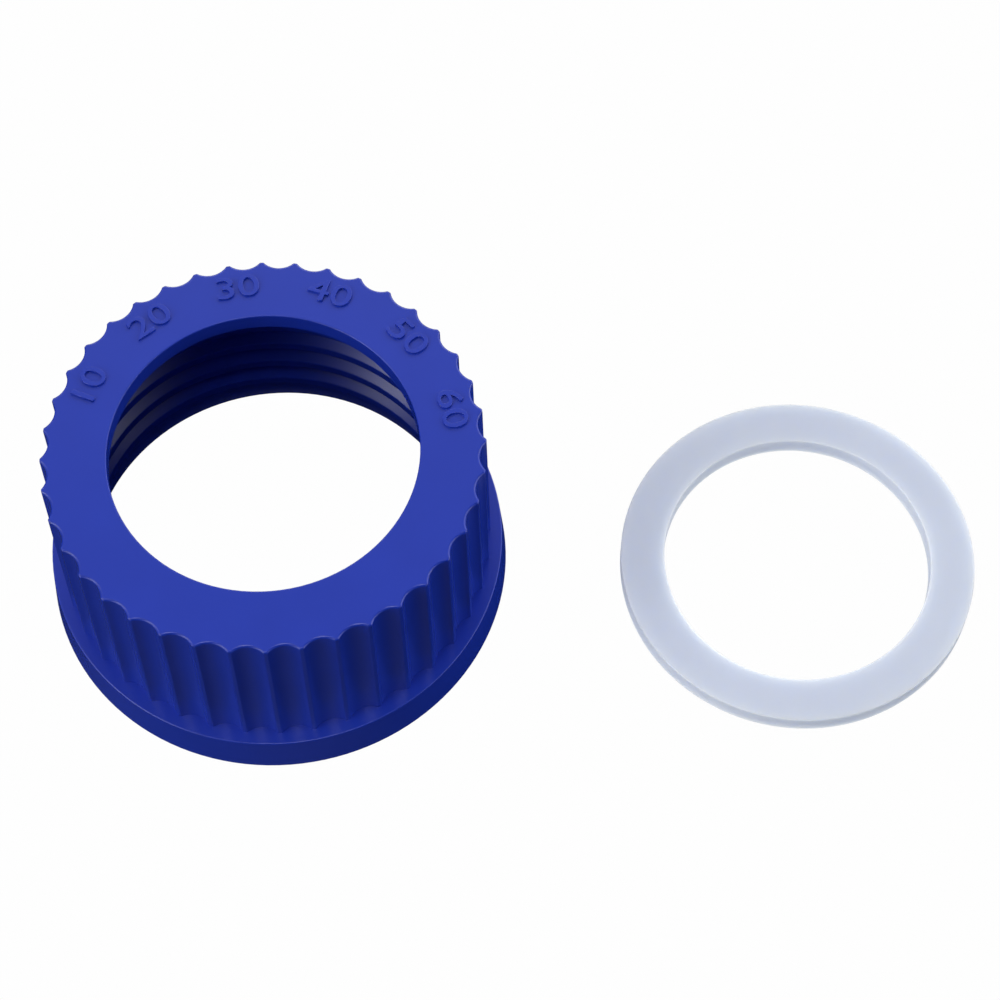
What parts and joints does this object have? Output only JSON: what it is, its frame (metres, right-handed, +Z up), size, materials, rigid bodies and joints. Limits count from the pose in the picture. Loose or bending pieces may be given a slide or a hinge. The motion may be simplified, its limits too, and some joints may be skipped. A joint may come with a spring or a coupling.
{
  "type": "solvent safety cap",
  "caption": "Open-top screw cap with a fluted grip, a plain skirt band and an inside thread, and the flat sealing ring that belongs in it, lying beside it.",
  "frame": {"origin": "on the screw ring's axis, on the surface that the ring and the seal lie on", "axes": "+Z up along the screw ring's axis, from the mouth to the open hole in the top; +X from the screw ring towards the sealing ring beside it; +Y by the right-hand rule"},
  "size_m": [0.1096, 0.054, 0.0264],
  "materials": {
    "blue_polypropylene": "satin",
    "silicone": "matte"
  },
  "bodies": {
    "root": {"threaded_ring": "blue_polypropylene", "sealing_ring": "silicone"}
  },
  "joints": []
}
